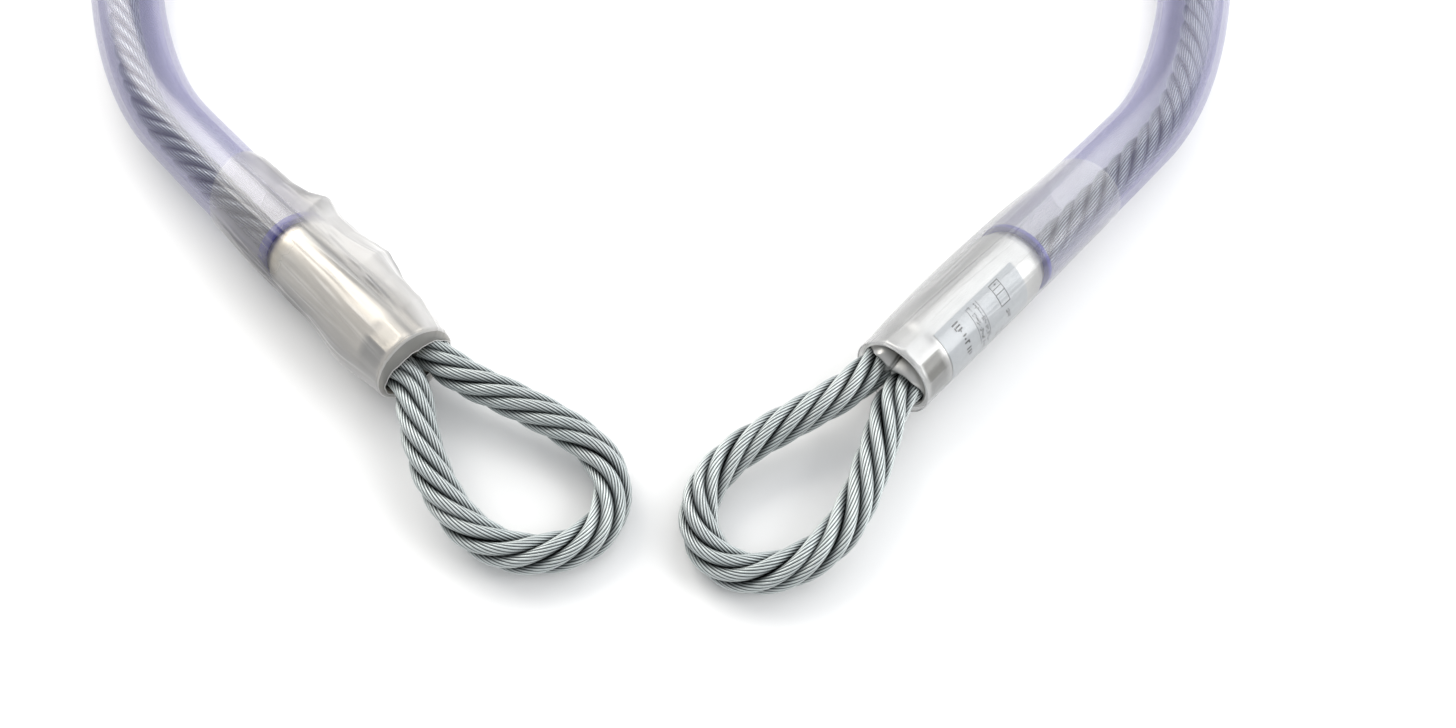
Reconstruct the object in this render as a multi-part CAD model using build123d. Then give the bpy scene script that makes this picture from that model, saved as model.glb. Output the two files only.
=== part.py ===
from build123d import *
import math
import os

# Wire rope sling with two soft eyes, lying on a surface with its body in one open loop.
# Millimetres. +Z is up and the surface is z = 0. +X runs from the left end to the right end,
# and the eyes point towards -Y. The origin is under the middle of the bounding box.

# ---------------------------------------------------------------- driving dimensions
ROPE_DIAMETER = 8.0              # 7x19 galvanised rope
PRESSED_ROPE_DIAMETER = 7.6      # the same rope where the ferrule squeezes it
FERRULE_DIAMETER = 18.0
FERRULE_LENGTH = 43.5
TUBE_OUTER_DIAMETER = 18.0
TUBE_WALL = 1.5
SLEEVE_INNER_DIAMETER = 18.4
SLEEVE_WALL = 0.6
SLEEVE_LIP = 0.6                 # how far a sleeve reaches past the ferrule's mouth
SLEEVE_OVER_TUBE = 29.0          # how far it reaches over the protective tube

# ---------------------------------------------------------------- where the two ends lie
LEFT = -1
RIGHT = 1
MOUTH_CENTRE = {LEFT: (-51.2, -141.4), RIGHT: (51.0, -144.6)}
END_ANGLE = 45.0                 # between each ferrule's axis and the Y axis, in degrees
END_HEIGHT = SLEEVE_INNER_DIAMETER / 2 + SLEEVE_WALL   # a ferrule's axis, with its sleeve on the surface

# ---------------------------------------------------------------- inside the ferrules
TAIL_OFFSET = -4.35              # from the ferrule's axis to the tail, and to the live rope
LIVE_OFFSET = 3.35
TAIL_DEPTH = FERRULE_LENGTH - 2.0    # the cut end of the rope stops this far behind the mouth
LEG_DEPTH = 4.0                  # the eye's own bend is worked out from this far behind the mouth
EYE_STARTS = 6.0                 # the rope has opened out to its full diameter this far past the mouth
BORE_SLOT = (2.4, 2.6)           # opening between the two bores: across, and in height
MOUTH_ROUND = 1.2
REAR_BEVEL = (3.0, 1.0)          # along the axis, and off the radius

# ---------------------------------------------------------------- label on the right ferrule
LABEL_RADII = (9.02, 9.14)
LABEL_SPAN = (8.0, 35.0)         # behind the mouth
LABEL_START_ANGLE = 12.0         # from the top, towards the outer side, in degrees
LABEL_SWEEP_ANGLE = 150.0

# ---------------------------------------------------------------- routes
# An eye's route is given from the middle of its mouth as (along, across, height): along points
# out of the mouth, and across points to the outer leg, which is the live one. It runs from the
# tail's leg round the eye to the live leg.
EYE_ROUTE = {
    LEFT: [
        (4.2, -4.35, 9.8), (11.5, -5.8, 9.2), (20.0, -9.1, 8.3), (28.5, -12.1, 7.3), (37.0, -14.3, 6.3),
        (44.8, -14.2, 5.4), (51.0, -10.6, 4.7), (54.3, -4.4, 4.4), (53.8, 2.0, 4.4), (50.3, 8.0, 4.8),
        (45.3, 12.8, 5.4), (37.5, 15.2, 6.3), (29.0, 14.8, 7.2), (20.5, 12.4, 8.2), (12.0, 8.4, 9.2),
        (4.2, 3.35, 9.8),
    ],
    RIGHT: [
        (4.2, -4.35, 9.8), (12.0, -5.3, 9.2), (20.0, -7.9, 8.3), (28.5, -10.6, 7.3), (37.0, -12.3, 6.3),
        (45.1, -12.0, 5.4), (51.1, -8.5, 4.7), (54.6, -2.5, 4.4), (54.1, 4.3, 4.4), (50.1, 9.5, 4.8),
        (44.3, 12.9, 5.5), (36.5, 14.5, 6.3), (28.0, 13.2, 7.2), (19.5, 10.1, 8.2), (11.0, 6.3, 9.2),
        (4.2, 3.35, 9.8),
    ],
}

# The body's loop from the right end round to the left end: the tube's axis, and the rope, which
# lies against the outer and lower side of the tube's bore.
TUBE_LEAD = [(-78.0, 0.0, 9.8)]  # from each mouth, as above
TUBE_LOOP = [
    (134.0, -60.7, 9.0), (157.5, 1.8, 9.0), (152.5, 69.8, 9.0), (120.5, 128.8, 9.0), (66.0, 169.8, 9.0),
    (0.0, 184.8, 9.0), (-66.5, 169.3, 9.0), (-120.0, 129.3, 9.0), (-152.5, 70.8, 9.0), (-157.0, 3.3, 9.0),
    (-133.6, -57.6, 9.0),
]
ROPE_LEAD = [(-58.0, LIVE_OFFSET, 9.8), (-79.0, 3.0, 9.1)]
ROPE_LOOP = [
    (136.0, -61.5, 7.4), (159.8, 1.7, 7.3), (154.7, 70.7, 7.5), (122.2, 130.6, 7.4), (66.9, 172.1, 7.3),
    (0.0, 187.1, 7.4), (-67.4, 171.5, 7.4), (-121.7, 131.1, 7.3), (-154.6, 71.7, 7.5), (-159.2, 3.3, 7.4),
    (-135.6, -58.4, 7.3),
]


# ---------------------------------------------------------------- helpers
def axis_directions(side):
    """Unit vectors at an end: out of the ferrule's mouth, and to the outer leg."""
    angle = math.radians(END_ANGLE)
    along = Vector(-side * math.sin(angle), -math.cos(angle), 0)
    across = Vector(side * math.cos(angle), -math.sin(angle), 0)
    return along, across


def end_point(side, along, across, height):
    """The place of a point that is given from the middle of a ferrule's mouth."""
    along_axis, across_axis = axis_directions(side)
    x, y = MOUTH_CENTRE[side]
    return Vector(x, y, height) + along_axis * along + across_axis * across


def end_plane(side, along):
    """The plane across a ferrule's axis: its x points to the outer leg, its z out of the mouth."""
    along_axis, across_axis = axis_directions(side)
    return Plane(end_point(side, along, 0, END_HEIGHT), x_dir=across_axis, z_dir=along_axis)


def bent_path(name, points):
    """Straight runs joined by tangent arcs, each as large as its two runs allow."""
    corners = [Vector(*p) for p in points]
    radii = []
    for before, corner, after in zip(corners, corners[1:], corners[2:]):
        turn = (corner - before).get_angle(after - corner)
        shorter = min((corner - before).length, (after - corner).length)
        radii.append(0.45 * shorter / math.tan(math.radians(turn / 2)))
    print(name, "arc radii, smallest to largest:", [round(r, 1) for r in sorted(radii)])
    return FilletPolyline(*corners, radius=radii)


def swept(path, outer_diameter, inner_diameter=0):
    """A round bar or pipe along a path."""
    section = Circle(outer_diameter / 2)
    if inner_diameter:
        section -= Circle(inner_diameter / 2)
    return sweep(Plane(path @ 0, z_dir=path % 0) * section, path=path)


def report_volume(name, solid, path, area):
    """Prints a swept solid's volume beside its section times its length."""
    print(name, "length", round(path.length, 1), "volume", round(solid.volume), "of", round(area * path.length))


def shell(side, start, length, inner_radius, outer_radius):
    """A round shell about a ferrule's axis: start is behind the mouth, as is its length."""
    ring = Circle(outer_radius) - Circle(inner_radius)
    return extrude(end_plane(side, -start) * ring, amount=-length)


# ---------------------------------------------------------------- the rope
def straight_leg(side, offset, depth, diameter):
    """The stretch of rope in a ferrule, from where the eye's bend is worked out to the given depth."""
    start = Location(end_plane(side, -LEG_DEPTH)) * Pos(offset, 0, 0)
    return extrude(start * Circle(diameter / 2), amount=LEG_DEPTH - depth)


def rope_eye(side, name):
    """One eye of the rope with its two legs in the ferrule, where the rope is pressed thinner."""
    tail = (-LEG_DEPTH, TAIL_OFFSET, END_HEIGHT)
    live = (-LEG_DEPTH, LIVE_OFFSET, END_HEIGHT)
    path = bent_path(name, [end_point(side, *p) for p in [tail] + EYE_ROUTE[side] + [live]])
    pressed = swept(path, PRESSED_ROPE_DIAMETER)
    pressed += straight_leg(side, TAIL_OFFSET, TAIL_DEPTH, PRESSED_ROPE_DIAMETER)
    pressed += straight_leg(side, LIVE_OFFSET, FERRULE_LENGTH, PRESSED_ROPE_DIAMETER)
    full = swept(path, ROPE_DIAMETER)
    report_volume(name, full, path, math.pi * ROPE_DIAMETER**2 / 4)
    room = 100.0
    inside = extrude(end_plane(side, EYE_STARTS) * Rectangle(room, room), amount=-room)
    return pressed + (full - inside)


def body_points(lead, loop, offset):
    """A route from the right ferrule's rear face round the loop to the left one's."""
    outwards = [(-FERRULE_LENGTH, offset, END_HEIGHT)] + lead
    start = [end_point(RIGHT, *p) for p in outwards]
    finish = [end_point(LEFT, *p) for p in reversed(outwards)]
    return start + [Vector(*p) for p in loop] + finish


def rope_body():
    """The rope between the two ferrules, inside the protective tube."""
    path = bent_path("rope_body", body_points(ROPE_LEAD, ROPE_LOOP, LIVE_OFFSET))
    rope = swept(path, ROPE_DIAMETER)
    report_volume("rope_body", rope, path, math.pi * ROPE_DIAMETER**2 / 4)
    return rope


# ---------------------------------------------------------------- what is on the rope
def protective_tube():
    """The clear plastic tube over the body, cut square and butted against both ferrules."""
    bore = TUBE_OUTER_DIAMETER - 2 * TUBE_WALL
    path = bent_path("protective_tube", body_points(TUBE_LEAD, TUBE_LOOP, 0))
    tube = swept(path, TUBE_OUTER_DIAMETER, bore)
    report_volume("protective_tube", tube, path, math.pi * (TUBE_OUTER_DIAMETER**2 - bore**2) / 4)
    return tube


def ferrule(side):
    """A pressed round ferrule: rounded at the mouth, bevelled at the rear, with a bore for each leg."""
    radius = FERRULE_DIAMETER / 2
    bevel_length, bevel_depth = REAR_BEVEL
    outline = Polyline(
        (0, 0), (0, -FERRULE_LENGTH), (radius - bevel_depth, -FERRULE_LENGTH),
        (radius, bevel_length - FERRULE_LENGTH), (radius, 0), close=True,
    )
    profile = fillet(make_face(outline).vertices().sort_by(Axis.Y)[-2:].sort_by(Axis.X)[-1], MOUTH_ROUND)
    blank = end_plane(side, 0) * revolve(Plane.XZ * profile, axis=Axis.Z)
    bore = Circle(PRESSED_ROPE_DIAMETER / 2)
    slot = Pos((TAIL_OFFSET + LIVE_OFFSET) / 2, 0) * Rectangle(*BORE_SLOT)
    bores = Pos(TAIL_OFFSET, 0) * bore + Pos(LIVE_OFFSET, 0) * bore + slot
    return blank - extrude(end_plane(side, 0) * bores, amount=-FERRULE_LENGTH)


def sleeve(side):
    """The clear shrink sleeve over a ferrule and the end of the protective tube."""
    inner = SLEEVE_INNER_DIAMETER / 2
    length = SLEEVE_LIP + FERRULE_LENGTH + SLEEVE_OVER_TUBE
    return shell(side, -SLEEVE_LIP, length, inner, inner + SLEEVE_WALL)


def label():
    """The label film that is wrapped part of the way round the right ferrule, under its sleeve."""
    start, end = LABEL_SPAN
    wrap = shell(RIGHT, start, end - start, *LABEL_RADII)
    reach = 3 * LABEL_RADII[1]
    # On this plane x points to the outer side and y points up, so the angle from the top runs clockwise.
    edges = [LABEL_START_ANGLE + LABEL_SWEEP_ANGLE * k / 3 for k in range(4)]
    rim = [(reach * math.sin(math.radians(a)), reach * math.cos(math.radians(a))) for a in edges]
    sector = make_face(Polyline((0, 0), *rim, close=True))
    return wrap & extrude(end_plane(RIGHT, -start) * sector, amount=-(end - start))


# ---------------------------------------------------------------- writing the parts
NODES = {
    "rope_left_eye": rope_eye(LEFT, "rope_left_eye"),
    "rope_body": rope_body(),
    "rope_right_eye": rope_eye(RIGHT, "rope_right_eye"),
    "ferrule_left": ferrule(LEFT),
    "ferrule_right": ferrule(RIGHT),
    "protective_tube": protective_tube(),
    "sleeve_left": sleeve(LEFT),
    "sleeve_right": sleeve(RIGHT),
    "label": label(),
}

os.makedirs("parts", exist_ok=True)
for node, shape in NODES.items():
    export_step(shape, f"parts/{node}.step")
print("box", Compound(children=list(NODES.values())).bounding_box())
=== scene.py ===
import math

import bpy
import numpy as np
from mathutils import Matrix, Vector


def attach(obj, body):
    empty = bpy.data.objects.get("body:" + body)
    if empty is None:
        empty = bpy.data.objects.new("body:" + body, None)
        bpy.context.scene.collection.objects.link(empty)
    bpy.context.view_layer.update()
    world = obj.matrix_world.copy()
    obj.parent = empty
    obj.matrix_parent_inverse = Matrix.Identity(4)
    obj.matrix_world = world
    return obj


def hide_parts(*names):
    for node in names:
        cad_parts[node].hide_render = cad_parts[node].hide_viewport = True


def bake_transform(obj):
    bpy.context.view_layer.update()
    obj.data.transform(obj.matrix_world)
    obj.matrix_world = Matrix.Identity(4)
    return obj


# A wire rope sling lying on a surface: an eye at each end, pressed ferrules under clear film, and a
# violet-tinted tube round the body, whose loop lies behind the two ends.
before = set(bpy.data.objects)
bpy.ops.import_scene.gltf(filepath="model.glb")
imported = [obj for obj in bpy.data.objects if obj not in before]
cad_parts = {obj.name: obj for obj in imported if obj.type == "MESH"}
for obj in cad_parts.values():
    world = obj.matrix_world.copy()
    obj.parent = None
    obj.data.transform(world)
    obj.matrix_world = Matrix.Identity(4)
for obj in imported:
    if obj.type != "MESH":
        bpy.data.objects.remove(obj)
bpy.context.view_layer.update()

MM = 0.001

# ---------------------------------------------------------------- the sling's own sizes, in metres
ROPE_DIAMETER = 8.0 * MM
ROPE_LAY = 44.0 * MM             # one turn of a strand round the rope, left-handed
STRANDS = 6
WIRES = 12                       # outer wires of a strand
TUBE_RADIUS = 9.0 * MM
TUBE_BORE_RADIUS = 7.5 * MM
FERRULE_RADIUS = 9.0 * MM
FERRULE_LENGTH = 43.5 * MM
END_HEIGHT = 9.8 * MM            # of a ferrule's axis
TAIL_OFFSET = -4.35 * MM         # of the two legs from the ferrule's axis
LIVE_OFFSET = 3.35 * MM
TAIL_DEPTH = 41.5 * MM           # where the rope's cut end lies in the ferrule
LEG_DEPTH = 4.0 * MM             # where a leg starts to run straight in its bore

LEFT = -1
RIGHT = 1
SIDE_NAME = {LEFT: "left", RIGHT: "right"}
MOUTH_CENTRE = {LEFT: (-0.0512, -0.1414), RIGHT: (0.0510, -0.1446)}
END_ANGLE = math.radians(45)

# Routes from the CAD, in metres. An eye's is (along, across, height) from the middle of its mouth.
EYE_ROUTE = {
    LEFT: [
        (0.0042, -0.00435, 0.0098), (0.0115, -0.0058, 0.0092), (0.0200, -0.0091, 0.0083),
        (0.0285, -0.0121, 0.0073), (0.0370, -0.0143, 0.0063), (0.0448, -0.0142, 0.0054),
        (0.0510, -0.0106, 0.0047), (0.0543, -0.0044, 0.0044), (0.0538, 0.0020, 0.0044),
        (0.0503, 0.0080, 0.0048), (0.0453, 0.0128, 0.0054), (0.0375, 0.0152, 0.0063),
        (0.0290, 0.0148, 0.0072), (0.0205, 0.0124, 0.0082), (0.0120, 0.0084, 0.0092),
        (0.0042, 0.00335, 0.0098),
    ],
    RIGHT: [
        (0.0042, -0.00435, 0.0098), (0.0120, -0.0053, 0.0092), (0.0200, -0.0079, 0.0083),
        (0.0285, -0.0106, 0.0073), (0.0370, -0.0123, 0.0063), (0.0451, -0.0120, 0.0054),
        (0.0511, -0.0085, 0.0047), (0.0546, -0.0025, 0.0044), (0.0541, 0.0043, 0.0044),
        (0.0501, 0.0095, 0.0048), (0.0443, 0.0129, 0.0055), (0.0365, 0.0145, 0.0063),
        (0.0280, 0.0132, 0.0072), (0.0195, 0.0101, 0.0082), (0.0110, 0.0063, 0.0092),
        (0.0042, 0.00335, 0.0098),
    ],
}
TUBE_LEAD = [(-0.0780, 0.0, 0.0098)]
TUBE_LOOP = [
    (0.1340, -0.0607, 0.0090), (0.1575, 0.0018, 0.0090), (0.1525, 0.0698, 0.0090),
    (0.1205, 0.1288, 0.0090), (0.0660, 0.1698, 0.0090), (0.0000, 0.1848, 0.0090),
    (-0.0665, 0.1693, 0.0090), (-0.1200, 0.1293, 0.0090), (-0.1525, 0.0708, 0.0090),
    (-0.1570, 0.0033, 0.0090), (-0.1336, -0.0576, 0.0090),
]
ROPE_LEAD = [(-0.0580, LIVE_OFFSET, 0.0098), (-0.0790, 0.0030, 0.0091)]
ROPE_LOOP = [
    (0.1360, -0.0615, 0.0074), (0.1598, 0.0017, 0.0073), (0.1547, 0.0707, 0.0075),
    (0.1222, 0.1306, 0.0074), (0.0669, 0.1721, 0.0073), (0.0000, 0.1871, 0.0074),
    (-0.0674, 0.1715, 0.0074), (-0.1217, 0.1311, 0.0073), (-0.1546, 0.0717, 0.0075),
    (-0.1592, 0.0033, 0.0074), (-0.1356, -0.0584, 0.0073),
]


# ---------------------------------------------------------------- places and meshes
def axis_directions(side):
    """Unit vectors at an end: out of the ferrule's mouth, to the outer leg, and up."""
    along = np.array((-side * math.sin(END_ANGLE), -math.cos(END_ANGLE), 0.0))
    across = np.array((side * math.cos(END_ANGLE), -math.sin(END_ANGLE), 0.0))
    return along, across, np.array((0.0, 0.0, 1.0))


def end_points(side, points):
    """Places given as (along, across, height) from the middle of a mouth, as rows of an array."""
    along, across, up = axis_directions(side)
    points = np.asarray(points, float)
    centre = np.array((*MOUTH_CENTRE[side], 0.0))
    return centre + points[..., :1] * along + points[..., 1:2] * across + points[..., 2:3] * up


def body_route(lead, loop, offset):
    """A route from the right ferrule's rear face round the loop to the left one's."""
    outwards = [(-FERRULE_LENGTH, offset, END_HEIGHT)] + lead
    return np.vstack((end_points(RIGHT, outwards), loop, end_points(LEFT, outwards[::-1])))


def eye_route(side):
    """The rope's route in an end: the tail in the ferrule, round the eye, and back to the rear face."""
    tail = [(-TAIL_DEPTH, TAIL_OFFSET, END_HEIGHT), (-LEG_DEPTH, TAIL_OFFSET, END_HEIGHT)]
    live = [(-LEG_DEPTH, LIVE_OFFSET, END_HEIGHT), (-FERRULE_LENGTH, LIVE_OFFSET, END_HEIGHT)]
    return end_points(side, tail + EYE_ROUTE[side] + live)


def spline_points(route):
    """The points of the smooth NURBS line that has the route's points as its control points."""
    curve = bpy.data.curves.new("route", "CURVE")
    curve.dimensions = "3D"
    curve.resolution_u = 32
    spline = curve.splines.new("NURBS")
    spline.points.add(len(route) - 1)
    for point, place in zip(spline.points, route):
        point.co = (*place, 1.0)
    spline.order_u = 3
    spline.use_endpoint_u = True
    holder = bpy.data.objects.new("route", curve)
    bpy.context.scene.collection.objects.link(holder)
    line = bpy.data.meshes.new_from_object(holder)
    points = np.array([v.co for v in line.vertices])
    bpy.data.objects.remove(holder)
    bpy.data.curves.remove(curve)
    bpy.data.meshes.remove(line)
    return points


def distances(points):
    """How far along the line each of its points lies."""
    steps = np.linalg.norm(np.diff(points, axis=0), axis=1)
    return np.concatenate(((0.0,), np.cumsum(steps)))


def at_distances(points, wanted):
    """The places on a line at the wanted distances along it."""
    along = distances(points)
    return np.stack([np.interp(wanted, along, points[:, k]) for k in range(3)], axis=1)


def line_frames(points):
    """The tangent, side and up directions along a line that never stands upright."""
    tangent = np.gradient(points, axis=0)
    tangent /= np.linalg.norm(tangent, axis=1, keepdims=True)
    side = np.cross((0.0, 0.0, 1.0), tangent)
    side /= np.linalg.norm(side, axis=1, keepdims=True)
    return tangent, side, np.cross(tangent, side)


def new_object(name, vertices, faces):
    """A smooth-shaded mesh object, linked to the scene."""
    mesh = bpy.data.meshes.new(name)
    mesh.from_pydata(vertices.tolist(), [], faces)
    mesh.validate()
    mesh.polygons.foreach_set("use_smooth", [True] * len(mesh.polygons))
    mesh.update()
    piece = bpy.data.objects.new(name, mesh)
    bpy.context.scene.collection.objects.link(piece)
    return piece


def ring_faces(rings, around, first=0, closed_length=False):
    """Quads between rings of points. A line of rings is open at its ends unless closed_length is set."""
    last = rings if closed_length else rings - 1
    i, j = np.meshgrid(np.arange(last), np.arange(around), indexing="ij")
    here, after = i * around, (i + 1) % rings * around
    corner = (j + 1) % around
    quads = np.stack((here + j, here + corner, after + corner, after + j), axis=-1).reshape(-1, 4)
    return (quads + first).tolist()


def end_caps(rings, around, first=0):
    """The two end faces of a line of rings."""
    last = first + (rings - 1) * around
    return [list(range(first + around - 1, first - 1, -1)), list(range(last, last + around))]


def rings_about(line, side, up, angles, radius):
    """Rings of points at one radius about a line."""
    outwards = np.cos(angles)[None, :, None] * side[:, None] + np.sin(angles)[None, :, None] * up[:, None]
    return line[:, None] + outwards * radius


def add_values(piece, name, values):
    """Stores one number for each vertex, which a material reads by its name."""
    attribute = piece.data.attributes.new(name, "FLOAT", "POINT")
    attribute.data.foreach_set("value", np.asarray(values, np.float32).ravel())


# ---------------------------------------------------------------- the rope
STRAND_RADIUS = ROPE_DIAMETER / 6
CORE_RADIUS = STRAND_RADIUS * 0.96
CORE_AROUND = 10
WIRE_RADIUS = STRAND_RADIUS / 5
WIRE_CIRCLE = STRAND_RADIUS - WIRE_RADIUS    # the outer wires' centres lie on it
WIRE_TURN = 0.40 / MM            # radians of wire twist for each metre of strand, against the lay
# Where the points of one wire's outline lie, as angles about the strand: in the eyes, and in the tube.
FINE_LOBE = np.radians((-15.0, -9.0, -3.0, 3.0, 9.0))
PLAIN_LOBE = np.radians((-15.0, 0.0))


def strand_outline(lobe):
    """A strand's outline of wires: each point's angle and radius, and its height as a crown, 0 to 1."""
    angles = np.concatenate([lobe + 2 * math.pi * k / WIRES for k in range(WIRES)])
    reach = np.sqrt(np.maximum(WIRE_RADIUS**2 - (WIRE_CIRCLE * np.sin(lobe)) ** 2, 0))
    radii = WIRE_CIRCLE * np.cos(lobe) + reach
    crown = (radii - radii.min()) / (radii.max() - radii.min())
    return angles, np.tile(radii, WIRES), np.tile(crown, WIRES)


def spaced(stretches):
    """Distances along a line whose stretches, given as (length, spacing), follow each other."""
    start, steps = 0.0, [0.0]
    for length, spacing in stretches:
        steps.extend(np.linspace(start, start + length, max(2, round(length / spacing)) + 1)[1:])
        start += length
    return np.array(steps)


def rope(name, points, steps, phase, spread, lobe, seed):
    """Six strands of twisted wires laid left-handed round a core strand, as one mesh along a line.

    phase is the first strand's angle at the line's start. spread scales how far out the strands lie
    at each step, as pressing and bending change it.
    """
    random = np.random.default_rng(seed)
    line = at_distances(points, steps)
    tangent, side, up = line_frames(line)
    angles, radii, crown = strand_outline(lobe)
    rings, around = len(steps), len(angles)
    lay_angle = phase - 2 * math.pi * steps / ROPE_LAY
    vertices, faces, crowns, outward = [], [], [], []
    for strand in range(STRANDS):
        wander = 1 + 0.025 * np.sin(steps / (9 * MM) + random.uniform(0, 6.3))
        sway = 0.07 * np.sin(steps / (13 * MM) + random.uniform(0, 6.3))
        turn = (lay_angle + sway + 2 * math.pi * strand / STRANDS)[:, None]
        out = np.cos(turn) * side + np.sin(turn) * up
        round_the_rope = -np.sin(turn) * side + np.cos(turn) * up
        distance = 2 * STRAND_RADIUS * spread * wander
        centre = line + out * distance[:, None]
        heading = tangent - round_the_rope * (2 * math.pi * distance / ROPE_LAY)[:, None]
        heading /= np.linalg.norm(heading, axis=1, keepdims=True)
        across = np.cross(heading, out)
        twist = WIRE_TURN * steps[:, None] + angles + random.uniform(0, 6.3)
        ring = centre[:, None] + radii[None, :, None] * (
            np.cos(twist)[..., None] * out[:, None] + np.sin(twist)[..., None] * across[:, None]
        )
        first = strand * rings * around
        vertices.append(ring.reshape(-1, 3))
        faces += ring_faces(rings, around, first) + end_caps(rings, around, first)
        crowns.append(np.tile(crown, rings))
        outward.append((0.5 + 0.5 * np.cos(twist)).ravel())
    core_angles = np.linspace(0, 2 * math.pi, CORE_AROUND, endpoint=False)
    core = rings_about(line, side, up, core_angles, CORE_RADIUS)
    first = STRANDS * rings * around
    vertices.append(core.reshape(-1, 3))
    faces += ring_faces(rings, CORE_AROUND, first) + end_caps(rings, CORE_AROUND, first)
    crowns.append(np.zeros(rings * CORE_AROUND))
    outward.append(np.zeros(rings * CORE_AROUND))
    piece = new_object(name, np.vstack(vertices), faces)
    # The wire material paints shade into the valleys between wires and strands from these two values.
    add_values(piece, "crown", np.concatenate(crowns))
    add_values(piece, "outward", np.concatenate(outward))
    return piece


# ---------------------------------------------------------------- materials
def material(name):
    """A new node material with its Principled shader."""
    made = bpy.data.materials.new(name)
    made.use_nodes = True
    return made, made.node_tree, made.node_tree.nodes["Principled BSDF"]


def node(tree, kind, inputs=(), **settings):
    """A new shader node. inputs holds a value or a socket for each input that isn't left as it is."""
    made = tree.nodes.new(kind)
    for key, value in settings.items():
        setattr(made, key, value)
    for key, value in dict(inputs).items():
        if isinstance(value, bpy.types.NodeSocket):
            tree.links.new(value, made.inputs[key])
        else:
            made.inputs[key].default_value = value
    return made


def noise(tree, place, scale, detail=3.0, roughness=0.5):
    """A cloudy value, about 0 to 1. scale is in cells for each metre, or for each unit of place."""
    inputs = {"Vector": place, "Scale": scale, "Detail": detail, "Roughness": roughness}
    return node(tree, "ShaderNodeTexNoise", inputs).outputs["Fac"]


def ramp(tree, value, stops):
    """A colour ramp. stops are (position, colour)."""
    made = node(tree, "ShaderNodeValToRGB", {"Fac": value})
    elements = made.color_ramp.elements
    while len(elements) < len(stops):
        elements.new(0.5)
    for element, (position, colour) in zip(elements, stops):
        element.position = position
        element.color = (*colour, 1)
    return made.outputs["Color"]


def bump(tree, shader, height, strength, distance):
    """Bumps a shader's surface by a height texture."""
    inputs = {"Height": height, "Strength": strength, "Distance": distance}
    made = node(tree, "ShaderNodeBump", inputs)
    tree.links.new(made.outputs["Normal"], shader.inputs["Normal"])


def value_of(tree, name):
    """The number that add_values stored under this name."""
    return node(tree, "ShaderNodeAttribute", attribute_name=name).outputs["Fac"]


def object_place(tree):
    """The place on the piece itself, so that a texture moves with it."""
    return node(tree, "ShaderNodeTexCoord").outputs["Object"]


def math_node(tree, operation, first, second, clamp=False):
    made = node(tree, "ShaderNodeMath", {0: first, 1: second}, operation=operation, use_clamp=clamp)
    return made.outputs[0]


def mapped(tree, value, low, high, from_low=0.0, from_high=1.0):
    """A value moved from one range to another, and held inside it."""
    return node(tree, "ShaderNodeMapRange", {
        "Value": value, "From Min": from_low, "From Max": from_high, "To Min": low, "To Max": high,
    }).outputs[0]


def drawn_out(tree, along_scale, around_scale):
    """A texture place that follows a piece of the ends, along it and around it."""
    return node(tree, "ShaderNodeCombineXYZ", {
        0: math_node(tree, "MULTIPLY", value_of(tree, "along"), along_scale),
        1: math_node(tree, "MULTIPLY", value_of(tree, "around"), around_scale),
    }).outputs[0]


def mixed(tree, factor, first, second, blend="MIX"):
    """A mix of two colours."""
    made = node(tree, "ShaderNodeMix", data_type="RGBA", blend_type=blend)
    for key, value in ((0, factor), (6, first), (7, second)):
        if isinstance(value, bpy.types.NodeSocket):
            tree.links.new(value, made.inputs[key])
        else:
            made.inputs[key].default_value = value
    return made.outputs[2]


def galvanised_wire():
    """Drawn galvanised wire: pale on the crowns, with painted shade darkening the valleys between wires
    and strands.
    """
    made, tree, shader = material("galvanised_wire")
    # Painted shade: the colour goes nearly black low between neighbouring wires and on the sides that face
    # into the rope.
    open_face = mapped(tree, value_of(tree, "outward"), 0.0, 1.0, 0.34, 0.92)
    depth = math_node(tree, "MULTIPLY", value_of(tree, "crown"), open_face)
    zinc_with_painted_shade = ramp(tree, depth, (
        (0.0, (0.012, 0.015, 0.016)), (0.45, (0.19, 0.205, 0.21)), (1.0, (0.70, 0.725, 0.73)),
    ))
    place = object_place(tree)
    mottle = noise(tree, place, 420.0)
    patches = noise(tree, place, 90.0, 2.0)
    tint = mixed(tree, mottle, (0.78, 0.81, 0.81, 1), (1.0, 1.0, 1.0, 1))
    age = mixed(tree, patches, (0.88, 0.93, 0.92, 1), (1.0, 0.985, 0.975, 1))
    colour = mixed(tree, 1.0, mixed(tree, 1.0, zinc_with_painted_shade, tint, "MULTIPLY"), age, "MULTIPLY")
    tree.links.new(colour, shader.inputs["Base Color"])
    tree.links.new(mapped(tree, mottle, 0.3, 0.5), shader.inputs["Roughness"])
    shader.inputs["Metallic"].default_value = 0.75
    return made


def pressed_aluminium(name, darkened, bright):
    """Satin aluminium with fine lines along the pressing, faint dents, and painted shade on some flats,
    bands and the mouth's hollows.
    """
    made, tree, shader = material(name)
    lines = noise(tree, drawn_out(tree, 60.0, 1400.0), 1.0, 4.0, 0.6)
    clouds = noise(tree, object_place(tree), 130.0, 3.0)
    colour = mixed(tree, clouds, darkened, bright)
    # Painted shade: a near-black colour that an attribute of the piece mixes in.
    painted_shade = mixed(tree, clouds, (0.02, 0.02, 0.017, 1), (0.16, 0.157, 0.14, 1))
    colour = mixed(tree, value_of(tree, "painted_shade"), colour, painted_shade)
    tree.links.new(colour, shader.inputs["Base Color"])
    shader.inputs["Metallic"].default_value = 1.0
    tree.links.new(mapped(tree, lines, 0.30, 0.50), shader.inputs["Roughness"])
    both = math_node(tree, "ADD", lines, clouds)
    bump(tree, shader, both, 0.25, 0.15 * MM)
    return made


GLOSS_FACING, GLOSS_EDGE = 0.04, 0.3     # how much a clear plastic mirrors, square on and edge on


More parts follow.
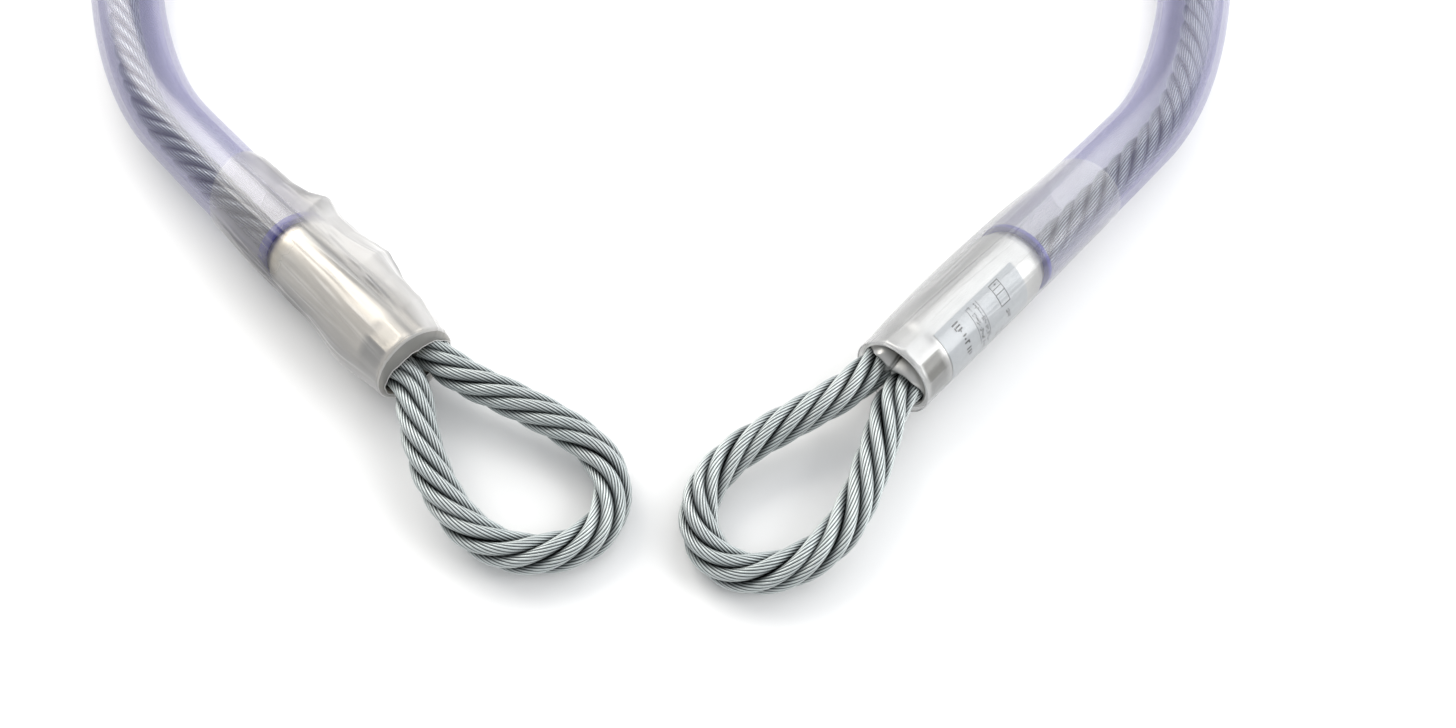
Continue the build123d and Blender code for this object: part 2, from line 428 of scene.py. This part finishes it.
def see_through(name, clear, body, facing, edge, roughness,
                haze=None, streaks=None, shade=None, slope=1.9):
    """A clear plastic: it lets light straight through, and shows more of its own body at its edges.

    clear tints what is seen through one layer. facing and edge are how much of the body shows where
    a layer is seen square on and edge on. haze is an attribute that adds to them, and shade is painted
    shade that darkens the body. slope is how late the body takes over towards the edges.
    """
    made, tree, shader = material(name)
    shader.inputs["Base Color"].default_value = body
    # Painted shade: the shade attribute darkens the body colour.
    if shade:
        shaded = (body[0] * 0.2, body[1] * 0.2, body[2] * 0.21, 1)
        colour = mixed(tree, value_of(tree, shade), body, shaded)
        tree.links.new(colour, shader.inputs["Base Color"])
    shader.inputs["Roughness"].default_value = roughness
    shader.inputs["IOR"].default_value = 1.5
    if streaks:
        bump(tree, shader, streaks(tree), 0.5, 0.2 * MM)
    slant = node(tree, "ShaderNodeLayerWeight", {"Blend": 0.5}).outputs["Facing"]
    shown = mapped(tree, math_node(tree, "POWER", slant, slope), facing, edge)
    if haze:
        shown = math_node(tree, "ADD", shown, value_of(tree, haze), clamp=True)
    through = node(tree, "ShaderNodeBsdfTransparent", {"Color": clear})
    mix = node(tree, "ShaderNodeMixShader", {0: shown, 1: through.outputs[0], 2: shader.outputs[0]})
    gloss = node(tree, "ShaderNodeBsdfGlossy", {"Color": (1, 1, 1, 1), "Roughness": roughness})
    if streaks:
        tree.links.new(shader.inputs["Normal"].links[0].from_socket, gloss.inputs["Normal"])
    shine = mapped(tree, math_node(tree, "POWER", slant, 5.0), GLOSS_FACING, GLOSS_EDGE)
    finish = node(tree, "ShaderNodeMixShader", {0: shine, 1: mix.outputs[0], 2: gloss.outputs[0]})
    tree.links.new(finish.outputs[0], tree.nodes["Material Output"].inputs["Surface"])
    return made


def film_streaks(tree):
    """Fine creases of a plastic film, drawn out along it."""
    return noise(tree, drawn_out(tree, 70.0, 420.0), 1.0, 3.0, 0.55)


def plain(name, colour, roughness, metallic=0.0):
    """One colour all over."""
    made, tree, shader = material(name)
    shader.inputs["Base Color"].default_value = colour
    shader.inputs["Roughness"].default_value = roughness
    shader.inputs["Metallic"].default_value = metallic
    return made, tree, shader


def label_foil():
    """Matt silver label film with a faint grain."""
    made, tree, shader = plain("label_foil", (0.42, 0.44, 0.46, 1), 0.42, 0.3)
    grain = noise(tree, object_place(tree), 900.0, 2.0)
    colour = mixed(tree, grain, (0.37, 0.395, 0.415, 1), (0.46, 0.48, 0.50, 1))
    tree.links.new(colour, shader.inputs["Base Color"])
    return made


# ---------------------------------------------------------------- pieces of the ends
def end_tube_points(side, along, angle, radius):
    """Places on a round about the ferrule's axis. angle runs from the top towards the outer leg."""
    points = np.stack(np.broadcast_arrays(
        along, radius * np.sin(angle), END_HEIGHT + radius * np.cos(angle)), axis=-1)
    return end_points(side, points)


def turn_from(angles, centre):
    """Angles from a direction, the short way round."""
    return (angles - centre + math.pi) % (2 * math.pi) - math.pi


def turned(name, side, along, radius, angles):
    """A surface of rings about an end's axis, with a place along it and a radius for each point.

    angles are the same in every ring. The place along and around is kept for the materials, with
    the seam of the latter on the underside.
    """
    rings, around = radius.shape
    places = end_tube_points(side, along, angles[None, :], radius).reshape(-1, 3)
    faces = ring_faces(rings, around)
    if side == RIGHT:
        faces = [face[::-1] for face in faces]
    piece = new_object(name, places, faces)
    add_values(piece, "along", np.broadcast_to(along, radius.shape))
    reach_around = turn_from(angles, 0)[None, :] * FERRULE_RADIUS
    add_values(piece, "around", np.broadcast_to(reach_around, radius.shape))
    return piece


def bump_at(value, centre, width):
    """A smooth hill: 1 at the centre, and nearly 0 from two widths away."""
    return np.exp(-(((value - centre) / width) ** 2))


MOUTH_FLOOR = -1.2 * MM          # how deep the mouth lies between its collars
LEG_HOLE_RADIUS = 4.2 * MM
LOBE_HEIGHT = {LEFT: 1.6 * MM, RIGHT: 3.3 * MM}   # of the collars of metal pushed up round the legs
FERRULE_AROUND = 144
LIP_LENGTH = 1.2 * MM
# How much painted shade darkens each of the flats that the pressing left near the mouth,
# from the top towards the outer leg.
FACET_PAINTED_SHADE = np.array((0.0, 0.97, 0.6, 0.1, 0.3, 0.2, 0.1, 0.3, 0.2, 0.4, 0.1, 0.05))
FACETS = len(FACET_PAINTED_SHADE)


def mouth_relief(across, height, lobe_height):
    """How far the pressed mouth stands out: a collar of metal round each leg, and a notch between."""
    relief = np.full(across.shape, MOUTH_FLOOR)
    for offset in (TAIL_OFFSET, LIVE_OFFSET):
        distance = np.hypot(across - offset, height)
        collar = lobe_height * bump_at(distance, 5.5 * MM, 1.6 * MM)
        hole = MOUTH_FLOOR + (distance - LEG_HOLE_RADIUS) * 3
        relief = np.maximum(relief, MOUTH_FLOOR + collar)
        relief = np.where(distance < LEG_HOLE_RADIUS, np.minimum(relief, hole), relief)
    notch = bump_at(across, (TAIL_OFFSET + LIVE_OFFSET) / 2, 0.35 * MM)
    return relief - 0.8 * MM * notch * np.clip(height / (6 * MM), 0, 1)


def ferrule_outside(angles):
    """A ferrule's rings from its rear face to its lip, and how far each point is part of a flat."""
    back = np.array((0.0, 0.25, 0.6, 3.0, 3.4)) * MM - FERRULE_LENGTH
    back_radius = np.array((7.6, 7.9, 8.05, 8.93, 9.0)) * MM
    barrel = np.linspace(-FERRULE_LENGTH + 5 * MM, -1.6 * MM, 42)
    lip_turn = np.radians(np.linspace(0, 90, 7))
    lip = (np.sin(lip_turn) - 1) * LIP_LENGTH
    lip_radius = FERRULE_RADIUS - (1 - np.cos(lip_turn)) * 0.9 * MM
    along = np.concatenate(((-FERRULE_LENGTH,), back, barrel, lip))
    radius = np.concatenate(((0.0,), back_radius, np.full(len(barrel), FERRULE_RADIUS), lip_radius))
    along, radius = (np.repeat(values[:, None], len(angles), axis=1) for values in (along, radius))
    on_barrel = (along > -FERRULE_LENGTH + 3.2 * MM) & (along < -1.3 * MM)
    flash_line = bump_at(np.abs(np.sin(angles)), 1.0, 0.004)
    radius = radius + np.where(on_barrel, 0.05 * MM * flash_line, 0)
    facet = 2 * math.pi / FACETS
    flats = math.cos(facet / 2) / np.cos(angles % facet - facet / 2)
    fade_in = np.clip((along + 7.9 * MM) / (1.6 * MM), 0, 1)
    fade_out = np.clip((-0.4 * MM - along) / (1.0 * MM), 0, 1)
    near_mouth = fade_in * fade_out
    return along, radius * (1 - near_mouth * (1 - flats)), near_mouth


def ferrule_mouth(angles, lobe_height):
    """The rings of a ferrule's mouth, from the lip inwards."""
    radii = np.concatenate(((7.95,), np.linspace(7.7, 0.0, 32))) * MM
    radius = np.repeat(radii[:, None], len(angles), axis=1)
    relief = mouth_relief(radius * np.sin(angles), radius * np.cos(angles), lobe_height)
    rim = np.clip((radii - 7.0 * MM) / (1.0 * MM), 0, 1)[:, None]
    return relief * (1 - rim**2 * (3 - 2 * rim)), radius


def ferrule_painted_shade(side, along, angles, near_mouth):
    """Painted shade on a ferrule: some flats, one side of its rear edge, a streak and a side of the left
    one.
    """
    darkened = near_mouth * np.repeat(FACET_PAINTED_SHADE, len(angles) // FACETS)
    # Painted shade on one side of the rear edge.
    rear = bump_at(along, 5 * MM - FERRULE_LENGTH, 4 * MM)
    darkened = darkened + 0.3 * rear * bump_at(turn_from(angles, 1.1), 0, 0.5)
    # Painted shade on the left one: a dark streak where the film leaves it, and its outer side.
    if side == LEFT:
        darkened = darkened + 0.9 * bump_at(turn_from(angles, math.radians(-15)), 0, 0.12)
        darkened = darkened + 0.35 * bump_at(turn_from(angles, math.radians(95)), 0, 0.6)
    return darkened


def ferrule(side, lobe_height):
    """A pressed aluminium ferrule: a barrel with a bevelled rear, a rounded lip and a lobed mouth."""
    angles = np.linspace(0, 2 * math.pi, FERRULE_AROUND, endpoint=False)
    along, radius, near_mouth = ferrule_outside(angles)
    relief, mouth_radius = ferrule_mouth(angles, lobe_height)
    piece = turned("pressed_ferrule_" + SIDE_NAME[side], side, np.vstack((along, relief)),
                   np.vstack((radius, mouth_radius)), angles)
    darkened = ferrule_painted_shade(side, along, angles, near_mouth)
    # Painted shade: the mouth is darker the deeper it lies between its collars and round the legs.
    mouth_painted_shade = np.clip(1.3 - (relief - MOUTH_FLOOR) / (2.5 * MM), 0.22, 1.0)
    add_values(piece, "painted_shade", np.vstack((darkened, mouth_painted_shade)))
    piece.data.materials.append(ALUMINIUM[side])
    return piece


# ---------------------------------------------------------------- the camera
CAMERA_PITCH = math.radians(58)          # how far it looks down
CAMERA_DISTANCE = 0.225
CAMERA_TARGET = (0.0048, -0.1356)        # where it looks on the surface


def place_camera():
    """The camera stands in front of the two ends and looks down at them."""
    data = bpy.data.cameras.new("camera")
    camera = bpy.data.objects.new("camera", data)
    bpy.context.scene.collection.objects.link(camera)
    data.sensor_width = 36.0
    data.lens = 24.73
    data.shift_x = 0.0357
    data.clip_start = 0.01
    x, y = CAMERA_TARGET
    back, up = CAMERA_DISTANCE * math.cos(CAMERA_PITCH), CAMERA_DISTANCE * math.sin(CAMERA_PITCH)
    camera.location = (x, y - back, up)
    camera.rotation_euler = (math.pi / 2 - CAMERA_PITCH, 0, 0)
    bpy.context.scene.camera = camera


# ---------------------------------------------------------------- the rope's three pieces and the tube
def finish_piece(piece, slot, *cad_nodes):
    """Hides the CAD nodes that a piece takes the place of. slot is not used."""
    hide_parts(*cad_nodes)


def eye_spread(steps, length, hidden_start, hidden_end):
    """Strands lie closer where the ferrule presses them, and open a little round the eye's tip."""
    pressed = 0.05 * (1 / (1 + np.exp((steps - hidden_start) / (1.5 * MM)))
                      + 1 / (1 + np.exp((length - hidden_end - steps) / (1.5 * MM))))
    middle = (hidden_start + length - hidden_end) / 2
    return 1.0 - pressed + 0.03 * bump_at(steps, middle, 18 * MM)


def lay_rope():
    """The rope as three pieces that meet at the ferrules' rear faces, with their strands in step."""
    right = spline_points(eye_route(RIGHT))
    body = spline_points(body_route(ROPE_LEAD, ROPE_LOOP, LIVE_OFFSET))
    left = spline_points(eye_route(LEFT))
    tail = TAIL_DEPTH - LEG_DEPTH
    live = FERRULE_LENGTH - LEG_DEPTH
    fine, coarse = 0.62 * MM, 2.5 * MM
    pieces = []
    length = distances(right)[-1]
    steps = spaced(((tail, coarse), (length - tail - live, fine), (live, coarse)))
    spread = eye_spread(steps, length, tail, live)
    pieces.append(rope("wire_rope_right_eye", right, steps, 0.0, spread, FINE_LOBE, 1))
    travelled = length
    length = distances(body)[-1]
    near_end = 100 * MM
    steps = spaced(((near_end, 0.95 * MM), (length - 2 * near_end, 1.6 * MM), (near_end, 0.95 * MM)))
    phase = -2 * math.pi * travelled / ROPE_LAY
    pieces.append(rope("wire_rope_body", body, steps, phase, np.ones(len(steps)), PLAIN_LOBE, 2))
    travelled += length
    length = distances(left)[-1]
    steps = spaced(((live, coarse), (length - tail - live, fine), (tail, coarse)))
    spread = eye_spread(steps, length, live, tail)
    phase = -2 * math.pi * travelled / ROPE_LAY
    pieces.append(rope("wire_rope_left_eye", left[::-1], steps, phase, spread, FINE_LOBE, 3))
    for piece, name in zip(pieces, ("rope_right_eye", "rope_body", "rope_left_eye")):
        piece.data.materials.append(WIRE)
        finish_piece(piece, "galvanised_rope", name)
    return pieces


def protective_tube():
    """The violet-tinted clear tube round the rope, a hollow shell along its own smooth line."""
    points = spline_points(body_route(TUBE_LEAD, TUBE_LOOP, 0.0))
    length = distances(points)[-1]
    first_edge, last_edge = 1.1 * MM, 1.7 * MM   # how far in the cut edges' colour shows
    near_end = 40 * MM
    middle = length - 2 * near_end - first_edge - last_edge
    steps = spaced(((first_edge, first_edge / 2), (near_end, 1.5 * MM), (middle, 3.0 * MM),
                    (near_end, 1.5 * MM), (last_edge, last_edge / 2)))
    line = at_distances(points, steps)
    _, side, up = line_frames(line)
    around = 64
    angles = np.linspace(0, 2 * math.pi, around, endpoint=False)
    outer = rings_about(line, side, up, angles, TUBE_RADIUS)
    inner = rings_about(line, side, up, angles, TUBE_BORE_RADIUS)
    rings = len(steps)
    places = np.concatenate((outer, inner[::-1])).reshape(-1, 3)
    piece = new_object("clear_tube", places, ring_faces(2 * rings, around, closed_length=True))
    piece.data.materials.append(TUBE_WALL)
    piece.data.materials.append(TUBE_CUT)
    end_faces = [rings - 1, 2 * rings - 1]
    cut = np.zeros((2 * rings, around), int)
    cut[[0, 1, rings - 3, rings - 2] + end_faces] = 1
    piece.data.polygons.foreach_set("material_index", cut.ravel())
    smooth = np.ones((2 * rings, around), bool)
    smooth[end_faces] = False
    piece.data.polygons.foreach_set("use_smooth", smooth.ravel())
    finish_piece(piece, "clear_tube", "protective_tube")
    return piece


# ---------------------------------------------------------------- the film sleeves
SLEEVE_BACK = -(FERRULE_LENGTH + 29 * MM)
SLEEVE_RADIUS = 9.35 * MM
SLEEVE_AROUND = 240


def sleeve(side, radius, along, haze, shade):
    """A film sleeve of one layer, with its shape given as a radius at each place along and around.

    haze is how much of the film's own body shows at each point. shade is painted shade that darkens
    it, for the rings that it is given for: the rest are at the mouth.
    """
    around = radius.shape[1]
    angles = np.linspace(0, 2 * math.pi, around, endpoint=False)
    piece = turned("film_sleeve_" + SIDE_NAME[side], side, along, radius, angles)
    add_values(piece, "haze", haze)
    add_values(piece, "shade", np.vstack((shade, np.zeros((len(radius) - len(shade), around)))))
    finish_piece(piece, "clear_sleeve", "sleeve_" + SIDE_NAME[side])
    return piece


def film_folds(seed, count, angles, t, around_range, widths):
    """Random soft folds along a film: how far each point stands out, and its milkiness and painted shade.
    """
    random = np.random.default_rng(seed)
    raised = np.zeros(np.broadcast_shapes(angles.shape, t.shape))
    milky_and_shaded = np.zeros_like(raised)
    for _ in range(count):
        centre = math.radians(random.uniform(*around_range))
        slope = random.uniform(-0.5, 0.5)
        width = random.uniform(*widths)
        fold = bump_at(turn_from(angles, centre + slope * (t - 0.5)), 0, width)
        fold = fold * bump_at(t, random.uniform(0.15, 0.85), random.uniform(0.08, 0.28))
        raised += random.uniform(0.12, 0.4) * MM * fold
        milky_and_shaded += random.uniform(0.03, 0.22) * fold
    return raised, milky_and_shaded


def right_sleeve():
    """Shrunk close over the ferrule, with a low flattened edge on its inner side and one long crease."""
    angles = np.linspace(0, 2 * math.pi, SLEEVE_AROUND, endpoint=False)[None, :]
    front = 0.6 * MM
    along = np.linspace(SLEEVE_BACK, front, 130)[:, None]
    t = (along - SLEEVE_BACK) / (front - SLEEVE_BACK)
    inner_side = turn_from(angles, math.radians(-68))
    raised, milky_and_shaded = film_folds(5, 26, angles, t, (-180, 180), (0.03, 0.09))
    radius = 9.2 * MM + 0.15 * MM * bump_at(t, 0.6, 0.35) + 0.6 * raised
    flattened = np.sin(np.clip((t - 0.15) / 0.8, 0, 1) * math.pi) ** 0.7
    radius += 1.1 * MM * bump_at(inner_side, 0, 0.45) * flattened
    crease = turn_from(angles, math.radians(-22) - 0.25 * (t - 0.6))
    crease_ends = bump_at(t, 0.66, 0.24)
    radius += 0.4 * MM * bump_at(crease, 0, 0.03) * crease_ends
    creased = bump_at(crease, 0, 0.026) * crease_ends
    loose = bump_at(inner_side, 0, 0.8)
    over_label = bump_at(turn_from(angles, math.radians(55)), 0, 0.7)
    haze = 0.03 + 0.5 * milky_and_shaded + 0.42 * creased + 0.2 * loose - 0.09 * over_label
    haze[0] = 0.12               # the cut edge at the back
    # Painted shade: darker along the crease, in the folds and on the loose inner side.
    shade = np.clip(creased + 1.2 * milky_and_shaded + 0.18 * loose, 0, 0.9)
    # The last rings turn in over the edge of the mouth.
    lip_along = np.array((0.75, 0.8, 0.72, 0.5))[:, None] * MM
    lip_radius = np.array((9.2, 9.12, 9.02, 9.0))[:, None] * MM * np.ones_like(angles)
    lip_haze = np.full(lip_radius.shape, 0.35)
    made = sleeve(RIGHT, np.vstack((radius, lip_radius)),
                  np.vstack((along, lip_along)) * np.ones_like(angles),
                  np.vstack((haze, lip_haze)), shade)
    made.data.materials.append(FILM_RIGHT)
    return made


LEFT_FRONT = 0.3 * MM                    # where the left film turns in over the mouth
BEAD = 0.14 * MM                         # the radius of its rolled edge
# The height in mm of the fin on its inner side, at places from the film's back (0) to its front (1).
FIN_PLACES = (0, 0.06, 0.14, 0.22, 0.31, 0.38, 0.45, 0.54, 0.68, 0.78, 0.90, 0.97, 1)
FIN_HEIGHTS = (0, 1.0, 1.4, 1.5, 2.6, 4.6, 3.0, 2.8, 4.2, 2.5, 2.2, 0.7, 0)


def left_film(angles, t):
    """The left film as far as the mouth: its radius, haze and painted shade, t of the way from its back.
    """
    fin = turn_from(angles, math.radians(-54) + 0.08 * np.sin(t * 9))
    outer_side = turn_from(angles, math.radians(95))
    leaves = turn_from(angles, math.radians(-19) + 0.12 * np.sin(t * 5))   # where it leaves the ferrule
    raised, milky_and_shaded = film_folds(8, 70, angles, t, (-110, 130), (0.02, 0.07))
    radius = SLEEVE_RADIUS + raised
    radius += np.interp(t, FIN_PLACES, FIN_HEIGHTS) * MM * bump_at(fin, 0, 0.34)
    bulge = 1.7 * bump_at(t, 0.80, 0.13) + 0.6 * bump_at(t, 0.22, 0.16)
    radius += bulge * MM * bump_at(outer_side, 0, 0.5)

    over_fin = np.clip(-(leaves / 0.25), 0, 1) * bump_at(fin, 0, 0.9)
    over_tube = np.clip((0.44 - t) / 0.12, 0, 1)
    over_tube_edge = bump_at(t, 0.39, 0.04) * bump_at(turn_from(angles, math.radians(40)), 0, 1.1)
    stands_off = bump_at(outer_side, 0, 0.7)
    haze = 0.06 + 1.3 * milky_and_shaded + 0.40 * over_fin * (1 - 0.55 * over_tube) + 0.26 * stands_off
    haze = haze - 0.45 * over_tube_edge - 0.12 * bump_at(t, 0, 0.05) - 0.06 * over_tube
    haze = haze + 0.42 * bump_at(leaves, 0, 0.05) * bump_at(t, 0.72, 0.22)
    # Painted shade: darker in the folds, on the outer side, where the film leaves the ferrule, over the
    # tube and the fin.
    shade = 1.6 * milky_and_shaded + 0.38 * stands_off + 0.9 * bump_at(leaves, 0, 0.07) * bump_at(t, 0.7, 0.25)
    shade = shade + 0.5 * over_tube + 0.12 * over_fin
    return radius, haze, np.clip(shade, 0, 0.85)


def left_film_curl(angles, last_radius):
    """Where the left film turns in over the mouth to an uneven opening, and the bead on its edge."""
    turn = np.linspace(0.1, 1, 12)[:, None]
    opening = 1 / np.hypot(np.sin(angles) / (8.5 * MM), np.cos(angles) / (5.0 * MM))
    uneven = 0.022 * np.sin(7 * angles + 1) + 0.014 * np.sin(13 * angles + 2) + 0.007 * np.sin(23 * angles)
    opening = opening * (1 + uneven)
    radius = last_radius * (1 - turn) + opening * turn
    along = LEFT_FRONT + 0.9 * MM * np.sin(turn * math.pi * 0.6) * np.ones_like(angles)
    bead_turn = np.radians((60, 120, 180, 240))[:, None]
    bead_radius = opening - BEAD * np.sin(bead_turn)
    bead_along = along[-1:] + BEAD * (1 - np.cos(bead_turn))
    return radius, along, bead_radius, bead_along


def left_sleeve():
    """Loose and wrinkled, with a wide fin on its inner side, and shrunk over the edge of the mouth."""
    rings = 150
    angles = np.linspace(0, 2 * math.pi, SLEEVE_AROUND, endpoint=False)[None, :]
    t = np.linspace(0, 1, rings)[:, None]
    slanted_back = SLEEVE_BACK + 4 * MM * (1 + np.sin(angles))
    along = slanted_back * (1 - t) + LEFT_FRONT * t
    radius, haze, shade = left_film(angles, t)
    curl_radius, curl_along, bead_radius, bead_along = left_film_curl(angles, radius[-1:])
    curl_haze, bead_haze = np.full(curl_radius.shape, 0.35), np.full(bead_radius.shape, 0.6)
    made = sleeve(LEFT, np.vstack((radius, curl_radius, bead_radius)),
                  np.vstack((along, curl_along, bead_along)),
                  np.vstack((haze, curl_haze, bead_haze)), shade)
    made.data.materials.append(FILM_LEFT)
    made.data.materials.append(FILM_MOUTH)
    slots = np.zeros(len(made.data.polygons), int)
    first, last = rings + 1, rings + len(curl_radius) - 1
    slots[first * SLEEVE_AROUND:last * SLEEVE_AROUND] = 1
    made.data.polygons.foreach_set("material_index", slots)
    return made


# ---------------------------------------------------------------- the label
LABEL_RADIUS = 9.14 * MM
LABEL_START = math.radians(12)
LABEL_WRAP = math.radians(150)
LABEL_FRONT, LABEL_BACK = -8 * MM, -35 * MM
PRINT_HEIGHT = 0.03 * MM                 # of the print above the label


def label_patch(first, last, start, end, radius):
    """Corner places and quads of a patch of the label: from first to last along, start to end around."""
    parts = max(1, math.ceil(abs(end - start) / (0.6 * MM)))
    around = LABEL_START + np.linspace(start, end, parts + 1) / LABEL_RADIUS
    near = end_tube_points(RIGHT, first, around, radius)
    far = end_tube_points(RIGHT, last, around, radius)
    places = np.concatenate((near, far))
    quads = [[k, k + 1, parts + 2 + k, parts + 1 + k] for k in range(parts)]
    return places, quads


def label_print():
    """Generic print: rows of short strokes that spell nothing, two rules and a box of three cells."""
    marks = []
    random = np.random.default_rng(11)

    def bar(first, last, start, end):
        """A stroke from first to last along the ferrule and start to end around it, in mm."""
        marks.append((first * MM, last * MM, start * MM, end * MM))

    def words(row, size, start, end, stroke):
        """A row of strokes in groups, like words. size is their height and stroke their width."""
        place = start
        while place < end:
            for _ in range(random.integers(3, 8)):
                low, high = random.choice((0.0, 0.25, 0.45)), random.choice((0.7, 1.0))
                bar(row - size * high, row - size * low, place, place + stroke)
                if random.random() < 0.5:
                    level = random.choice((0.0, 0.5, 0.85))
                    bar(row - size * level - stroke, row - size * level, place, place + stroke * 2.2)
                place += stroke * 2.1
            place += stroke * 2.2

    words(-12.6, 2.0, 1.2, 9.8, 0.38)
    words(-18.3, 1.0, 0.8, 10.0, 0.21)
    words(-20.0, 1.0, 1.0, 8.6, 0.21)
    words(-23.4, 0.7, 11.0, 19.0, 0.15)
    words(-25.2, 0.7, 11.0, 19.0, 0.15)
    words(-27.2, 1.3, 7.6, 9.8, 0.3)
    bar(-17.95, -17.81, 0.8, 10.0)
    bar(-21.4, -21.26, 0.8, 10.0)
    for row in (-26.4, -29.4):
        bar(row, row + 0.2, 0.6, 6.2)
    for place in (0.6, 1.9, 3.2, 6.0):
        bar(-29.4, -26.4, place, place + 0.2)
    bar(-28.2, -27.6, 1.1, 1.4)
    return marks


def rating_label():
    """The silver label on the right ferrule, and its print, as one piece."""
    patches = [(label_patch(LABEL_BACK, LABEL_FRONT, 0, LABEL_WRAP * LABEL_RADIUS, LABEL_RADIUS), 0)]
    patches += [(label_patch(*mark, LABEL_RADIUS + PRINT_HEIGHT), 1) for mark in label_print()]
    places, faces, slots = [], [], []
    count = 0
    for (corners, quads), slot in patches:
        faces += [[corner + count for corner in quad] for quad in quads]
        slots += [slot] * len(quads)
        places.append(corners)
        count += len(corners)
    piece = new_object("silver_label", np.vstack(places), faces)
    piece.data.materials.append(LABEL)
    piece.data.materials.append(PRINT)
    piece.data.polygons.foreach_set("material_index", slots)
    finish_piece(piece, "label_film", "label")
    return piece


# ---------------------------------------------------------------- the surface and the light
def pale_floor():
    """A plain surface, large enough to reach past every view."""
    half = 3.0
    corners = np.array(((-half, -half, 0), (half, -half, 0), (half, half, 0), (-half, half, 0)))
    floor = new_object("floor", corners, [[0, 1, 2, 3]])
    made, _, _ = plain("pale_floor", (0.9, 0.9, 0.9, 1), 0.9)
    floor.data.materials.append(made)


# Each softbox: its name, place, size, power in watts, and colour.
SOFTBOXES = (
    ("softbox_left", (-0.50, 0.50, 0.62), (0.7, 0.7), 6.6, (1.0, 0.97, 0.92)),
    ("softbox_right", (0.50, 0.50, 0.62), (1.0, 1.0), 5.4, (0.98, 0.99, 1.0)),
    ("softbox_side", (0.85, -0.30, 0.55), (0.5, 0.7), 4.5, (1.0, 1.0, 1.0)),
)
LIGHT_AIM = (0.0, -0.1, 0.0)


def area_light(name, place, size, power, colour):
    """A softbox that faces the sling."""
    data = bpy.data.lights.new(name, "AREA")
    data.color = colour
    data.shape = "RECTANGLE"
    data.size, data.size_y = size
    data.energy = power
    lamp = bpy.data.objects.new(name, data)
    bpy.context.scene.collection.objects.link(lamp)
    lamp.location = place
    lamp.rotation_euler = (Vector(LIGHT_AIM) - Vector(place)).to_track_quat("-Z", "Y").to_euler()


def studio():
    """The floor, the softboxes and an even pale sky."""
    pale_floor()
    for softbox in SOFTBOXES:
        area_light(*softbox)
    world = bpy.data.worlds.new("studio")
    bpy.context.scene.world = world
    world.use_nodes = True
    background = world.node_tree.nodes["Background"]
    background.inputs["Color"].default_value = (0.97, 0.985, 1.0, 1)
    background.inputs["Strength"].default_value = 0.70
    bpy.context.scene.view_settings.view_transform = "Standard"
    bpy.context.scene.cycles.transparent_max_bounces = 24    # a ray may cross tube and film many times


# ---------------------------------------------------------------- making everything
WIRE = galvanised_wire()
ALUMINIUM = {
    LEFT: pressed_aluminium("warm_aluminium", (0.58, 0.54, 0.465, 1), (0.73, 0.685, 0.61, 1)),
    RIGHT: pressed_aluminium("bright_aluminium", (0.50, 0.50, 0.495, 1), (0.66, 0.66, 0.65, 1)),
}
TUBE_WALL = see_through(
    "violet_tube", clear=(0.965, 0.967, 0.985, 1), body=(0.20, 0.19, 0.37, 1),
    facing=0.045, edge=0.98, roughness=0.24, slope=2.5)
TUBE_CUT, _, _ = plain("violet_cut", (0.04, 0.035, 0.27, 1), 0.35)
FILM_RIGHT = see_through(
    "clear_film", clear=(0.965, 0.965, 0.965, 1), body=(0.52, 0.52, 0.525, 1),
    facing=0.12, edge=0.60, roughness=0.2, haze="haze", streaks=film_streaks, shade="shade")
FILM_LEFT = see_through(
    "milky_film", clear=(0.95, 0.945, 0.94, 1), body=(0.64, 0.63, 0.62, 1),
    facing=0.22, edge=0.70, roughness=0.3, haze="haze", streaks=film_streaks, shade="shade")
FILM_MOUTH = see_through(
    "shrunk_film", clear=(0.80, 0.79, 0.77, 1), body=(0.28, 0.275, 0.26, 1),
    facing=0.30, edge=0.70, roughness=0.35, haze="haze", streaks=film_streaks)
LABEL = label_foil()
PRINT, _, _ = plain("label_print", (0.012, 0.012, 0.014, 1), 0.5)

place_camera()
rope_right, rope_body, rope_left = lay_rope()
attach(rope_right, "right_side")
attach(rope_left, "left_side")
tube = protective_tube()
for crossing in (rope_body, tube):
    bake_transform(crossing)
for side in (LEFT, RIGHT):
    pressed = ferrule(side, LOBE_HEIGHT[side])
    finish_piece(pressed, "ferrule_alloy", "ferrule_" + SIDE_NAME[side])
    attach(pressed, SIDE_NAME[side] + "_side")
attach(right_sleeve(), "right_side")
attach(left_sleeve(), "left_side")
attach(rating_label(), "right_side")
studio()
